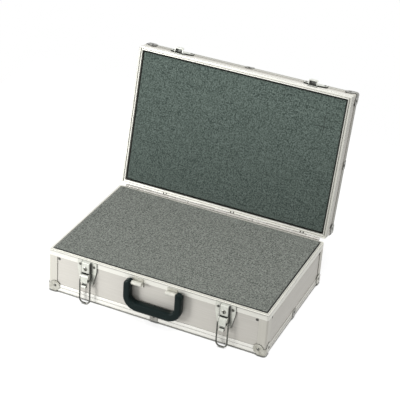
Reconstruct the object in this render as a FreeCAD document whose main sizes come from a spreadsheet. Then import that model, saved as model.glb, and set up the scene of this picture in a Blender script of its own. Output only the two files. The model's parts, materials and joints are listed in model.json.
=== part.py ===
import FreeCAD, Part
import math
import os
from types import SimpleNamespace

import Sketcher
from FreeCAD import Placement, Rotation, Vector

# Foam-lined equipment case with aluminium edges, in millimetres. +X runs along the width, -Y is the
# front with the handle and latches, +Z is up. The origin is on the floor under the middle of the base.
# The lid is drawn closed and then turned back about the hinge line, because the case rests open.

SIZES = {
    # shell
    "case_width": 450.0,
    "case_depth": 290.0,
    "base_height": 92.0,  # floor to the base's rim
    "lid_height": 46.0,  # the lid's rim to the lid's top
    "rim_gap": 0.4,  # between the two rims when the case is closed
    "lid_open_angle": 102.0,
    "panel_inset": 1.2,  # panels lie this far behind the faces of the extrusions
    "panel_thickness": 3.0,
    "corner_round": 4.0,  # on the upright edges
    # rim extrusions
    "rim_band": 11.5,  # height of the band that shows outside
    "rim_top": 1.5,  # wall of the ledge
    "rim_ledge": 3.6,  # outside face to the tongue
    "rim_web": 1.2,  # the inner wall that grips the panels
    "rim_mitre": 16.0,
    "tongue_thickness": 1.0,
    "tongue_height": 1.6,
    "tongue_clearance": 0.4,  # from the tongue to the groove that takes it
    "tongue_swing": 0.3,  # more of it on the inner side, where the lid swings
    "lip_thickness": 1.9,  # the lid's inner lip
    "rim_line_drop": 1.2,  # the band's fine line, below its top
    "line_width": 1.0,
    "line_depth": 0.8,
    # edge extrusions
    "edge_width": 17.8,
    "edge_wall": 1.2,
    "edge_round": 6.0,
    "edge_lip_round": 0.8,
    "edge_line_rise": 10.8,  # the upright flange's fine line, from the face round the corner
    "edge_mitre": 20.0,
    "post_width": 18.0,
    # corner caps and the clips over the joints of the edges
    "cap_edge": 17.0,  # how far the cap runs along each edge from the corner
    "cap_lobe": 10.4,  # radius of the round lobe on each face
    "cap_wall": 1.2,
    "cap_fit": 0.5,  # room inside the cap at the rounded edge
    "cap_clearance": 1.0,  # from the cap's lobe to the flush middle of the panel
    "cap_rivet": 14.0,  # rivet, in the middle of its lobe, from each of the two edges beside it
    "clip_width": 16.0,
    "clip_wall": 0.8,
    "clip_rivet": 13.0,
    # rivets
    "rivet_radius": 3.0,
    "rivet_height": 1.2,
    "rim_rivet_side": 22.0,  # from the upright edge
    "rim_rivet_drop": 4.5,  # below the band
    "ledge_rivet_pitch": 150.0,
    "ledge_rivet_side": 25.0,  # from the middle of the case to the middle pair
    "ledge_rivet_spacing": 6.0,
    "ledge_rivet_radius": 1.4,
    "ledge_rivet_height": 0.25,
    # foam
    "foam_side_gap": 0.2,  # between the plain foam and the walls
    "foam_lip_gap": 0.3,  # between the base's cubed foam and the closed lid's lip
    "foam_rise": 2.4,  # the base's cubed foam stands this far above the rim
    "lid_foam_gap": 4.0,  # between the lid's cubed foam and the lid's lip
    "lid_foam_sink": 2.4,  # the lid's cubed foam lies this far inside the rim
    "base_pad_height": 34.0,
    "lid_pad_height": 14.0,
    # hinges
    "hinge_offset": 4.1,  # pin behind the back face
    "hinge_end": 12.0,  # the case's side to the end of the nearest hinge
    "hinge_gap": 0.8,  # between one hinge and the next
    "hinge_leaf": 1.4,
    "hinge_leaf_height": 11.5,
    "knuckle_radius": 3.4,
    "knuckle_gap": 0.3,
    "hinge_pin_radius": 1.45,
    "hinge_pin_play": 0.05,
    "hinge_rivet_side": 45.0,
    "hinge_rivet_height": 7.5,  # from the pin
    "stop_width": 1.2,
    "stop_reach": 6.6,
    "stop_gap": 0.3,
    # latches: heights are drops from the base's rim, and depths are from the case's front face
    "latch_inset": 83.0,  # the case's side to the middle of the latch
    "latch_wall": 2.0,
    "latch_top_drop": 1.0,
    "latch_shoulder_drop": 19.0,
    "latch_foot_drop": 50.0,
    "latch_half_width": 20.0,
    "latch_foot_half_width": 13.0,
    "latch_rivet_side": 14.8,
    "latch_rivet_drop": 10.0,
    "lever_pivot_drop": 30.0,
    "lever_pivot_out": 9.0,
    "ear_inside": 7.3,
    "ear_wall": 1.2,
    "ear_radius": 5.5,
    "latch_pin_radius": 1.5,
    "latch_pin_play": 0.05,
    # the block that holds the lock
    "lock_half_width": 7.8,
    "lock_bottom_drop": 23.4,
    "lock_out": 9.0,
    "lock_round": 1.5,
    "key_drop": 14.0,
    "key_radius": 4.5,
    "key_play": 0.05,
    "key_depth": 6.0,
    "key_dome": 1.3,
    "key_slot_width": 2.2,
    "key_slot_length": 6.0,
    "key_slot_depth": 3.0,
    # lever, measured from its pivot
    "lever_half_width": 7.0,
    "lever_radius": 5.0,
    "lever_wall": 1.5,
    "lever_length": 12.0,
    "lever_foot_back": 2.0,
    "lever_barrel": 5.5,  # the solid part round the pivot ends here
    "lip_half_width": 4.8,
    "lip_step": 2.0,  # the lip lies this far behind the lever's face
    "lip_roll_radius": 3.4,
    "lip_roll_bore": 2.0,
    "lip_roll_out": 4.0,
    "lip_roll_drop": 8.2,
    # bail, measured from its pivot on the lever
    "bail_drop": 8.0,  # lever pivot to bail pivot
    "bail_half_width": 10.75,
    "bail_wire": 1.5,
    "bail_play": 0.05,
    "bail_length": 51.5,
    "bail_corner": 8.0,
    "bail_bend": 2.5,
    "bail_end": 4.6,
    # catch on the lid: heights are from the lid's rim
    "catch_low": 1.6,
    "catch_neck": 15.6,
    "catch_shoulder": 20.6,
    "catch_top": 32.6,
    "catch_neck_half_width": 9.0,
    "catch_half_width": 24.0,
    "catch_rivet_side": 19.5,
    "catch_rivet_rise": 26.6,
    "hook_wall": 1.6,
    "hook_low": 4.6,
    "hook_clearance": 0.35,
    "hook_lip": 1.4,
    "hook_lip_rise": 2.2,
    # handle
    "handle_half_width": 59.5,
    "handle_arm": 14.0,
    "handle_depth": 15.0,
    "handle_bar": 18.0,
    "handle_drop": 57.5,  # pivot to the underside of the grip
    "handle_top": 6.0,
    "handle_top_round": 11.0,
    "handle_outer_round": 28.0,
    "handle_inner_round": 12.0,
    "handle_edge_round": 4.0,
    "handle_pivot_drop": 11.5,  # from the base's rim
    "handle_pivot_out": 8.5,
    "handle_pin_radius": 2.0,
    "handle_pin_play": 0.05,
    "handle_pin_seat": 10.0,  # how far the pin goes into the arm
    "bracket_length": 20.5,
    "bracket_side_gap": 0.4,
    "bracket_barrel": 3.9,
    "bracket_web": 4.0,
    "bracket_plate": 1.5,
    # the bracket's plate, measured from the handle's pin
    "bracket_top_rise": 7.5,
    "bracket_foot_drop": 10.0,
    "bracket_rivet_drop": 6.2,
}

doc = FreeCAD.newDocument("equipment_case")
sheet = doc.addObject("Spreadsheet::Sheet", "Sizes")
for row, (alias, number) in enumerate(SIZES.items(), start=1):
    sheet.set(f"A{row}", str(number))
    sheet.setAlias(f"A{row}", alias)
doc.recompute()


class Size:
    """A length or angle: its number, and the expression on the sheet that keeps it."""

    def __init__(self, number, text):
        self.number = float(number)
        self.text = text

    def join(self, sign, other, number):
        return Size(number, f"({self.text} {sign} {other.text})")

    def __add__(self, other):
        other = size(other)
        return self.join("+", other, self.number + other.number)

    def __sub__(self, other):
        other = size(other)
        return self.join("-", other, self.number - other.number)

    def __mul__(self, other):
        other = size(other)
        return self.join("*", other, self.number * other.number)

    def __truediv__(self, other):
        other = size(other)
        return self.join("/", other, self.number / other.number)

    def __neg__(self):
        return self * -1

    def __radd__(self, other):
        return size(other) + self

    def __rsub__(self, other):
        return size(other) - self


def size(value):
    """A Size as it is, or a plain number made into one."""
    return value if isinstance(value, Size) else Size(value, f"({value})")


def cosine(angle):
    return Size(math.cos(math.radians(angle.number)), f"cos({angle.text})")


def sine(angle):
    return Size(math.sin(math.radians(angle.number)), f"sin({angle.text})")


s = SimpleNamespace(**{alias: Size(number, f"Sizes.{alias}") for alias, number in SIZES.items()})
underside = s.cap_wall
half_width = s.case_width / 2
half_depth = s.case_depth / 2
lid_rim = s.base_height + s.rim_gap
lid_top = lid_rim + s.lid_height
hinge_y = half_depth + s.hinge_offset
hinge_z = s.base_height + s.rim_gap / 2
latch_sides = {"left": s.latch_inset - half_width, "right": half_width - s.latch_inset}
lever_z = s.base_height - s.lever_pivot_drop
key_z = s.base_height - s.key_drop
handle_z = s.base_height - s.handle_pivot_drop
hinge_pitch = (half_width - s.hinge_end) * 2 / 3
hinge_length = hinge_pitch - s.hinge_gap
hinge_centres = [-hinge_pitch, size(0), hinge_pitch]

# the case's sides: how far a side piece is turned about Z from the front, and its outward turn
SIDES = {"front": 0, "right": 90, "back": 180, "left": 270}
OUTWARD = {
    "front": Rotation(Vector(1, 0, 0), 90),
    "right": Rotation(Vector(0, 1, 0), 90),
    "back": Rotation(Vector(1, 0, 0), -90),
    "left": Rotation(Vector(0, 1, 0), -90),
    "up": Rotation(),
    }
NORMALS = {
    "front": (0, -1, 0),
    "right": (1, 0, 0),
    "back": (0, 1, 0),
    "left": (-1, 0, 0),
    "up": (0, 0, 1),
}
ALONG_X = Rotation(Vector(0, 1, 0), 90)

# how close a corner must be to a plane to lie on it
NEAR = 1e-3

nodes = []


# ---------------------------------------------------------------- drawing and placing


def bind(item, settings):
    """Ties each named property to its size."""
    for name, value in settings.items():
        item.setExpression(name, size(value).text)


def place(item, x=0, y=0, z=0, turn=None):
    """Puts a piece at a point of the case, with a fixed turn."""
    if turn is not None:
        item.Placement = Placement(Vector(), turn)
    bind(item, {"Placement.Base.x": x, "Placement.Base.y": y, "Placement.Base.z": z})


def swing(item, y, z, angle, x=0):
    """Puts a piece at a point and turns it by an angle about the hinge line."""
    up, away = size(z) - hinge_z, size(y) - hinge_y
    item.Placement = Placement(Vector(), Rotation(Vector(1, 0, 0), angle.number))
    bind(
        item,
        {
            "Placement.Rotation.Angle": angle,
            "Placement.Base.x": x,
            "Placement.Base.y": hinge_y + away * cosine(angle) - up * sine(angle),
            "Placement.Base.z": hinge_z + away * sine(angle) + up * cosine(angle),
        },
    )


def node(item, label, on_lid=False, x=0, y=0, z=0):
    """Names a finished sub-part, and places it on the base or on the open lid."""
    item.Label = label
    if on_lid:
        swing(item, y, z, -s.lid_open_angle, x)
    else:
        place(item, x, y, z)
    nodes.append(item)
    return item


def block_node(label, x, y, z, on_lid=False):
    """A sub-part that is one block, from three (low, high) pairs."""
    block = doc.addObject("Part::Box", label)
    bind(block, {"Length": x[1] - x[0], "Width": y[1] - y[0], "Height": z[1] - z[0]})
    return node(block, label, on_lid, x[0], y[0], z[0])


def origin_plane(body, role):
    return next(feature for feature in body.Origin.OriginFeatures if feature.Role == role)


def draw_edge(sketch, start, end):
    """Adds one straight or round stretch, and returns which end of it is its start."""
    first = Vector(start[0].number, start[1].number, 0)
    last = Vector(end[0].number, end[1].number, 0)
    if len(end) == 2:
        sketch.addGeometry(Part.LineSegment(first, last), False)
        return 1
    centre = Vector(end[2].number, end[3].number, 0)
    leftward = (first - centre).cross(last - centre).z > 0
    begin, finish = (first, last) if leftward else (last, first)
    angles = [math.atan2(p.y - centre.y, p.x - centre.x) for p in (begin, finish)]
    if angles[1] < angles[0]:
        angles[1] += 2 * math.pi
    circle = Part.Circle(centre, Vector(0, 0, 1), (begin - centre).Length)
    sketch.addGeometry(Part.ArcOfCircle(circle, angles[0], angles[1]), False)
    return 1 if leftward else 2


def hold(sketch, kind, edge, point, value):
    """Fixes a point's distance from the sketch's origin along one axis."""
    index = sketch.addConstraint(Sketcher.Constraint(kind, edge, point, value.number))
    sketch.setExpression(f"Constraints[{index}]", value.text)


def outline(sketch, points):
    """Draws a closed outline. A point (x, y) is reached by a line, (x, y, cx, cy) by an arc about cx, cy."""
    points = [tuple(size(value) for value in point) for point in points]
    count = len(points)
    first_edge = sketch.GeometryCount
    starts = [draw_edge(sketch, points[i], points[(i + 1) % count]) for i in range(count)]
    for i in range(count):
        edge, before = first_edge + i, first_edge + (i - 1) % count
        sketch.addConstraint(Sketcher.Constraint("Coincident", before, 3 - starts[i - 1], edge, starts[i]))
    for i, point in enumerate(points):
        edge = first_edge + i
        if len(point) == 2:
            hold(sketch, "DistanceX", edge, starts[i], point[0])
            hold(sketch, "DistanceY", edge, starts[i], point[1])
            continue
        # an arc's far end needs one coordinate, because its centre and its start fix the rest
        level = abs(point[1].number - point[3].number) >= abs(point[0].number - point[2].number)
        kind, value = ("DistanceX", point[0]) if level else ("DistanceY", point[1])
        hold(sketch, kind, edge, starts[i], value)
        hold(sketch, "DistanceX", first_edge + (i - 1) % count, 3, point[2])
        hold(sketch, "DistanceY", first_edge + (i - 1) % count, 3, point[3])


def ring(sketch, x, y, radius):
    """Draws a full circle."""
    x, y, radius = size(x), size(y), size(radius)
    circle = Part.Circle(Vector(x.number, y.number, 0), Vector(0, 0, 1), radius.number)
    edge = sketch.addGeometry(circle, False)
    hold(sketch, "DistanceX", edge, 3, x)
    hold(sketch, "DistanceY", edge, 3, y)
    index = sketch.addConstraint(Sketcher.Constraint("Radius", edge, radius.number))
    sketch.setExpression(f"Constraints[{index}]", radius.text)


def box(name, x, y, z):
    """A block from three (low, high) pairs."""
    block = doc.addObject("Part::Box", name)
    bind(block, {"Length": x[1] - x[0], "Width": y[1] - y[0], "Height": z[1] - z[0]})
    place(block, x[0], y[0], z[0])
    return block


def rod(name, x, y, z, radius):
    """A round bar along X, from a (low, high) pair."""
    bar = doc.addObject("Part::Cylinder", name)
    bind(bar, {"Radius": radius, "Height": x[1] - x[0]})
    place(bar, x[0], y, z, ALONG_X)
    return bar


def joined(name, pieces):
    fuse = doc.addObject("Part::MultiFuse", name)
    fuse.Shapes = pieces
    return fuse


def common(name, pieces):
    shared = doc.addObject("Part::MultiCommon", name)
    shared.Shapes = pieces
    return shared


def cut(name, base, tool):
    result = doc.addObject("Part::Cut", name)
    result.Base = base
    result.Tool = tool
    return result


def group(name, pieces):
    """Separate solids that share one node."""
    compound = doc.addObject("Part::Compound", name)
    compound.Links = pieces
    return compound


# how a drawing's own axes lie in the case for an extrusion along each axis
PLANES = {
    "X": Rotation(Vector(1, 1, 1), 120),
    "Y": Rotation(Vector(1, 0, 0), 90),
    "Z": Rotation(),
}


def extrusion(name, points, axis, low, high):
    """A solid of one section along an axis, from low to high."""
    sketch = doc.addObject("Sketcher::SketchObject", name + "_section")
    sketch.Placement = Placement(Vector(), PLANES[axis])
    outline(sketch, points)
    bind(sketch, {f"Placement.Base.{axis.lower()}": low})
    solid = doc.addObject("Part::Extrusion", name)
    solid.Base = sketch
    solid.DirMode = "Custom"
    solid.Dir = Vector(*(float(letter == axis) for letter in "XYZ"))
    solid.Solid = True
    bind(solid, {"LengthFwd": high - low})
    return solid


def new_body(name):
    return doc.addObject("PartDesign::Body", name)


def sketch_on(body, plane, offset=0):
    """An empty sketch on one of the body's own planes, moved along the plane's normal."""
    sketch = body.newObject("Sketcher::SketchObject", body.Name + "_sketch")
    sketch.AttachmentSupport = [(origin_plane(body, plane), "")]
    sketch.MapMode = "FlatFace"
    bind(sketch, {"AttachmentOffset.Base.z": offset})
    return sketch


def pad(body, sketch, length, midplane=False, back=False):
    feature = body.newObject("PartDesign::Pad", body.Name + "_pad")
    feature.Profile = sketch
    feature.Midplane = midplane
    feature.Reversed = back
    bind(feature, {"Length": length})
    sketch.Visibility = False
    return feature


def pocket(body, sketch, length, midplane=False, back=False):
    feature = body.newObject("PartDesign::Pocket", body.Name + "_pocket")
    feature.Profile = sketch
    feature.Midplane = midplane
    feature.Reversed = back
    bind(feature, {"Length": length})
    sketch.Visibility = False
    return feature


def round_edges(body, chosen, radius):
    """Rounds the edges of the body's last feature that the test picks."""
    doc.recompute()
    last = body.Tip
    names = [f"Edge{i}" for i, edge in enumerate(last.Shape.Edges, start=1) if chosen(edge)]
    feature = body.newObject("PartDesign::Fillet", body.Name + "_round")
    feature.Base = (last, names)
    bind(feature, {"Radius": radius})
    return feature


def both(low, high):
    """A (low, high) pair, and its mirror image on the other side of zero."""
    return (low, high), (-high, -low)


# ---------------------------------------------------------------- panels


def side_panels(half, z, on_lid):
    """Four flat panels. The side ones run between the front and back ones."""
    inset, wall = s.panel_inset, s.panel_inset + s.panel_thickness
    x_in, y_in = half_width - wall, half_depth - wall
    x_out, y_out = half_width - inset, half_depth - inset
    block_node(f"{half}_front_panel", (-x_out, x_out), (-y_out, -y_in), z, on_lid)
    block_node(f"{half}_back_panel", (-x_out, x_out), (y_in, y_out), z, on_lid)
    block_node(f"{half}_left_panel", (-x_out, -x_in), (-y_in, y_in), z, on_lid)
    block_node(f"{half}_right_panel", (x_in, x_out), (-y_in, y_in), z, on_lid)


def base_panels():
    side_panels("base", (underside + s.edge_round, s.base_height - s.rim_top), False)
    node(floor_panel("base_bottom_panel", underside, 1), "base_bottom_panel")


def floor_panel(name, face, way):
    """The panel inside the edge extrusions. Its middle is flush with them, and clear of the corner caps."""
    x_core, y_core = half_width - s.edge_round, half_depth - s.edge_round
    skin, inner = face + s.edge_wall * way, face + (s.edge_wall + s.panel_thickness) * way
    slab_z = (skin, inner) if way > 0 else (inner, skin)
    slab = box(name + "_slab", (-x_core, x_core), (-y_core, y_core), slab_z)
    x, y = half_width - s.edge_width, half_depth - s.edge_width
    corner = s.cap_rivet + s.cap_lobe - s.edge_width + s.cap_clearance
    points = [(corner - x, -y), (x - corner, -y), (x, corner - y), (x, y - corner)]
    points += [(x - corner, y), (corner - x, y), (-x, y - corner), (-x, corner - y)]
    middle_z = (face, skin) if way > 0 else (skin, face)
    middle = extrusion(name + "_middle", points, "Z", *middle_z)
    return joined(name, [slab, middle])


def lid_panels():
    side_panels("lid", (lid_panel_seat(), lid_top - s.edge_round), True)
    node(floor_panel("lid_top_panel", lid_top, -1), "lid_top_panel", True)


def lid_panel_seat():
    """The closed lid's side panels start here, above the floor of the groove."""
    return lid_rim + s.tongue_height + s.rim_gap + s.rim_top


# ---------------------------------------------------------------- aluminium extrusions


def mitre(name, run, span, depth, z):
    """The space that one side's extrusion may fill: mitred inwards, rounded at the upright edges."""
    round_, part = s.corner_round, s.corner_round * math.sqrt(0.5)
    end, front = run / 2, -span
    points = [
        (-end + round_, front, -end + round_, front + round_),
        (end - round_, front),
        (end - round_ + part, front + round_ - part, end - round_, front + round_),
        (end - depth, front + depth),
        (-end + depth, front + depth),
        (-end + round_ - part, front + round_ - part),
    ]
    return extrusion(name, points, "Z", z[0], z[1])


def side_rails(label, section, depth, z, on_lid):
    """Four mitred extrusions of one section, given as (distance in from the outside, height)."""
    for side, angle in SIDES.items():
        lengthwise = side in ("front", "back")
        run, span = (s.case_width, half_depth) if lengthwise else (s.case_depth, half_width)
        name = f"{label}_{side}"
        points = [(point[0] - span, point[1]) if len(point) == 2 else
                  (point[0] - span, point[1], point[2] - span, point[3]) for point in section]
        bar = extrusion(name + "_bar", points, "X", -run / 2, run / 2)
        space = mitre(name + "_mitre", run, span, depth, z)
        for piece in (bar, space):
            piece.Placement = Placement(Vector(), Rotation(Vector(0, 0, 1), angle))
        node(common(name, [bar, space]), name, on_lid)


def fine_line(low):
    """The fine line along the outside of an extrusion, as points of its section from the top down."""
    out, high, depth = size(0), low + s.line_width, s.line_depth
    return [(out, high), (depth, high), (depth, low), (out, low)]


def base_rim():
    """The base's rim: a band outside, a ledge, a tongue that enters the lid, and a slot for the panels."""
    top, out, skin = s.base_height, size(0), s.panel_inset
    ledge, tongue = s.rim_ledge, s.rim_ledge + s.tongue_thickness
    grip, web = skin + s.panel_thickness, skin + s.panel_thickness + s.rim_web
    low, under = top - s.rim_band, top - s.rim_top
    section = [(out, low), *reversed(fine_line(top - s.rim_line_drop - s.line_width)), (out, top)]
    section += [(ledge, top), (ledge, top + s.tongue_height), (tongue, top + s.tongue_height), (tongue, top)]
    section += [(web, top), (web, low), (grip, low), (grip, under), (skin, under), (skin, low)]
    side_rails("base_rim", section, s.rim_mitre, (low, top + s.tongue_height), False)


def lid_rim_rails():
    """The lid's rim, drawn closed: an outer ledge, a groove for the tongue, and an inner lip."""
    rim, out, skin = lid_rim, size(0), s.panel_inset
    groove = s.rim_ledge - s.tongue_clearance
    lip = s.rim_ledge + s.tongue_thickness + s.tongue_clearance + s.tongue_swing
    inner = lip + s.lip_thickness
    grip, web = skin + s.panel_thickness, skin + s.panel_thickness + s.rim_web
    ceiling, seat, high = rim + s.tongue_height + s.rim_gap, lid_panel_seat(), rim + s.rim_band
    section = [(out, rim), (groove, rim), (groove, ceiling), (lip, ceiling), (lip, rim), (inner, rim)]
    section += [(inner, seat), (web, seat), (web, high), (grip, high), (grip, seat), (skin, seat)]
    section += [(skin, high), (out, high), *fine_line(rim + s.rim_line_drop)]
    side_rails("lid_rim", section, s.rim_mitre, (rim, high), True)


def edge_section(face, way):
    """An edge extrusion: a rounded core in the corner, and a flange over each of two panels."""
    core, wall, width, lip, out = s.edge_round, s.edge_wall, s.edge_width, s.edge_lip_round, size(0)
    rise = [(lip, width), (out, width - lip, lip, width - lip), *fine_line(s.edge_line_rise)]
    rise += [(out, core), (core, out, core, core), (width, out), (width, wall), (core, wall)]
    rise += [(core, core), (wall, core), (wall, width)]
    return [
        (p[0], face + p[1] * way) if len(p) == 2 else (p[0], face + p[1] * way, p[2], face + p[3] * way)
        for p in rise
    ]


def edge_rails():
    """The extrusions round the base's underside and round the lid's top."""
    base_z, lid_z = (underside, underside + s.edge_width), (lid_top - s.edge_width, lid_top)
    side_rails("base_edge", edge_section(underside, 1), s.edge_mitre, base_z, False)
    side_rails("lid_edge", edge_section(lid_top, -1), s.edge_mitre, lid_z, True)


def corners():
    """Each corner's name, its signs along X and Y, and how far its pieces are turned about Z."""
    return [
        ("front_left", -1, -1, 0), ("front_right", 1, -1, 90),
        ("back_right", 1, 1, 180), ("back_left", -1, 1, 270),
    ]


def corner_posts(label, low, high, on_lid):
    """Angles over the upright edges, between the rim and the edge extrusions."""
    round_, wall, width, out = s.corner_round, s.panel_inset, s.post_width, size(0)
    points = [(width, out), (width, wall), (wall, wall), (wall, width), (out, width), (out, round_)]
    points += [(round_, out, round_, round_)]
    posts = []
    for corner, x, y, angle in corners():
        post = extrusion(f"{label}_{corner}", points, "Z", low, high)
        place(post, half_width * x, half_depth * y, 0, Rotation(Vector(0, 0, 1), angle))
        posts.append(post)
    node(group(label, posts), label, on_lid)


# ---------------------------------------------------------------- corner caps, clips and rivets


def rounded_block(name, low, high, radius):
    """A cube with the three edges at its low corner rounded to a ball."""
    body = new_body(name)
    sketch = sketch_on(body, "XY_Plane", low)
    outline(sketch, [(low, low), (high, low), (high, high), (low, high)])
    pad(body, sketch, high - low)

    def at_low_corner(edge):
        ends = [vertex.Point for vertex in edge.Vertexes]
        return any(max(abs(c - low.number) for c in point) < NEAR for point in ends)

    round_edges(body, at_low_corner, radius)
    return body


# the round lobe of a cap is drawn on the face across Z, and turned to the faces across X and Y
LOBE_TURNS = {axis: Rotation(Vector(1, 1, 1), turn) for axis, turn in (("Z", 0), ("X", 120), ("Y", 240))}


def corner_cap(name):
    """A pressed cap: a ball over the corner, and a round lobe on each of the three faces."""
    far = s.cap_rivet + s.cap_lobe + s.cap_wall * 2
    outer = rounded_block(name + "_outer", -s.cap_wall, far, s.corner_round + s.cap_wall)
    inner = rounded_block(name + "_inner", size(0), far * 2, s.corner_round - s.cap_fit)
    ball = doc.addObject("Part::Sphere", name + "_ball")
    bind(ball, {"Radius": s.cap_edge})
    lobes = [cap_lobe(f"{name}_lobe_{axis}", turn) for axis, turn in LOBE_TURNS.items()]
    return common(name, [cut(name + "_shell", outer, inner), joined(name + "_outline", [ball, *lobes])])


def cap_lobe(name, turn):
    """The round bar that gives one lobe its outline, through the wall of its face."""
    bar = doc.addObject("Part::Cylinder", name)
    bind(bar, {"Radius": s.cap_lobe, "Height": s.cap_wall * 3})
    across = turn.multVec(Vector(0, 0, 1))
    spot = [-s.cap_wall * 2 if round(value) else s.cap_rivet for value in across]
    place(bar, *spot, turn)
    return bar


def corner_caps(label, face, upside_down, on_lid):
    caps = []
    for corner, x, y, angle in corners():
        turn = Rotation(Vector(0, 0, 1), angle)
        if upside_down:
            turn = turn * Rotation(Vector(1, 1, 0), 180)
        cap = corner_cap(f"{label}_{corner}")
        place(cap, half_width * x, half_depth * y, face, turn)
        caps.append(cap)
    node(group(label, caps), label, on_lid)


def edge_clips(label, face, way, on_lid):
    """Thin straps bent round the middle of each edge extrusion, over the joint in it."""
    wall, core, width, out = s.clip_wall, s.edge_round, s.edge_width, size(0)
    rise = [(-wall, width), (-wall, core), (core, -wall, core, core), (width, -wall), (width, out)]
    rise += [(core, out), (out, core, core, core), (out, width)]
    clips = []
    for side, angle in SIDES.items():
        span = half_depth if side in ("front", "back") else half_width
        points = [
            (p[0] - span, face + p[1] * way) if len(p) == 2 else
            (p[0] - span, face + p[1] * way, p[2] - span, face + p[3] * way)
            for p in rise
        ]
        clip = extrusion(f"{label}_{side}", points, "X", -s.clip_width / 2, s.clip_width / 2)
        clip.Placement = Placement(Vector(), Rotation(Vector(0, 0, 1), angle))
        clips.append(clip)
    node(group(label, clips), label, on_lid)


def rivet(name, side, spot, radius, height):
    """A domed head that sits on a face of the case, pointing away from it."""
    ball = (radius * radius + height * height) / (height * 2)
    sink = ball - height
    dome = doc.addObject("Part::Sphere", name)
    bind(dome, {"Radius": ball})
    dome.setExpression("Angle1", f"asin({(sink / ball).text})")
    centre = [size(value) - sink * way for value, way in zip(spot, NORMALS[side])]
    place(dome, *centre, OUTWARD[side])
    return dome


def on_side(side, along, out, z):
    """The point of a side face that lies `along` from its middle, `out` from the case's outside."""
    if side in ("front", "back"):
        y = half_depth + out
        return (along, -y, z) if side == "front" else (along, y, z)
    x = half_width + out
    return (x, along, z) if side == "right" else (-x, along, z)


def side_rivet_spots(rivet_z, cap_z, clip_z):
    """Where each side face has its rivets: beside the posts, on the caps and on the clip."""
    spots = []
    for side in SIDES:
        half_run = half_width if side in ("front", "back") else half_depth
        rim, cap = half_run - s.rim_rivet_side, half_run - s.cap_rivet
        for way in (-1, 1):
            if rivet_z is not None:
                spots.append((side, on_side(side, rim * way, -s.panel_inset, rivet_z)))
            spots.append((side, on_side(side, cap * way, s.cap_wall, cap_z)))
        spots.append((side, on_side(side, size(0), s.clip_wall, clip_z)))
    return spots


def rivets(label, spots, on_lid):
    heads = [
        rivet(f"{label}_{number}", side, spot, s.rivet_radius, s.rivet_height)
        for number, (side, spot) in enumerate(spots)
    ]
    node(group(label, heads), label, on_lid)


def base_rivets():
    """Rivet heads on the base: shell, latch plates, handle brackets and hinge leaves."""
    band = s.base_height - s.rim_band - s.rim_rivet_drop
    spots = side_rivet_spots(band, underside + s.cap_rivet, underside + s.clip_rivet)
    plate_z, bracket_z = s.base_height - s.latch_rivet_drop, handle_z - s.bracket_rivet_drop
    for x in latch_sides.values():
        for way in (-1, 1):
            spots.append(("front", on_side("front", x + s.latch_rivet_side * way, s.latch_wall, plate_z)))
    for way in (-1, 1):
        middle = (bracket_x()[0] + bracket_x()[1]) / 2 * way
        spots.append(("front", on_side("front", middle, s.bracket_plate, bracket_z)))
    rivets("base_rivets", spots + hinge_rivet_spots(-1), False)


def lid_rivets():
    """Rivet heads on the lid: shell, top, catches and hinge leaves."""
    spots = side_rivet_spots(None, lid_top - s.cap_rivet, lid_top - s.clip_rivet)
    catch_z = lid_rim + s.catch_rivet_rise
    for x in latch_sides.values():
        for way in (-1, 1):
            spots.append(("front", on_side("front", x + s.catch_rivet_side * way, s.latch_wall, catch_z)))
    x, y = half_width - s.cap_rivet, half_depth - s.cap_rivet
    for _, x_way, y_way, _ in corners():
        spots.append(("up", (x * x_way, y * y_way, lid_top + s.cap_wall)))
    rivets("lid_rivets", spots + hinge_rivet_spots(1), True)


def hinge_rivet_spots(way):
    """Two rivets on the back leaf of each hinge, below the pin on the base and above it on the lid."""
    z = hinge_z + s.hinge_rivet_height * way
    return [
        ("back", on_side("back", centre + s.hinge_rivet_side * side, s.hinge_leaf, z))
        for centre in hinge_centres
        for side in (-1, 1)
    ]


def ledge_rivets():
    """The flat heads in the lid's back ledge: a pair over each hinge."""
    y = half_depth - (s.rim_ledge - s.tongue_clearance) / 2
    heads = []
    for number in range(6):
        pair, way = number // 2 - 1, number % 2 * 2 - 1
        x = s.ledge_rivet_pitch * pair + s.ledge_rivet_side + s.ledge_rivet_spacing * way / 2
        head = doc.addObject("Part::Cylinder", f"lid_ledge_rivets_{number}")
        bind(head, {"Radius": s.ledge_rivet_radius, "Height": s.ledge_rivet_height})
        place(head, x, y, lid_rim - s.ledge_rivet_height)
        heads.append(head)
    node(group("lid_ledge_rivets", heads), "lid_ledge_rivets", True)


# ---------------------------------------------------------------- foam


def foams():
    """Plain sheets against the shell, and cubed sheets: the base's stands proud, the lid's is recessed."""
    wall = s.edge_round + s.foam_side_gap
    lip = s.rim_ledge + s.tongue_thickness + s.tongue_clearance + s.tongue_swing + s.lip_thickness
    edge, lid_edge = lip + s.foam_lip_gap, lip + s.lid_foam_gap
    x_pad, y_pad, x_cube, y_cube = half_width - wall, half_depth - wall, half_width - edge, half_depth - edge
    skin = s.edge_wall + s.panel_thickness
    floor = underside + skin
    pad_top = floor + s.base_pad_height
    block_node("base_foam_pad", (-x_pad, x_pad), (-y_pad, y_pad), (floor, pad_top))
    cube_z = (pad_top, s.base_height + s.foam_rise)
    block_node("base_cube_foam", (-x_cube, x_cube), (-y_cube, y_cube), cube_z)

    x_cube, y_cube = half_width - lid_edge, half_depth - lid_edge
    ceiling = lid_top - skin
    pad_low = ceiling - s.lid_pad_height
    block_node("lid_foam_pad", (-x_pad, x_pad), (-y_pad, y_pad), (pad_low, ceiling), True)
    cube_z = (lid_rim + s.lid_foam_sink, pad_low)
    block_node("lid_cube_foam", (-x_cube, x_cube), (-y_cube, y_cube), cube_z, True)


# ---------------------------------------------------------------- hinges


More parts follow.
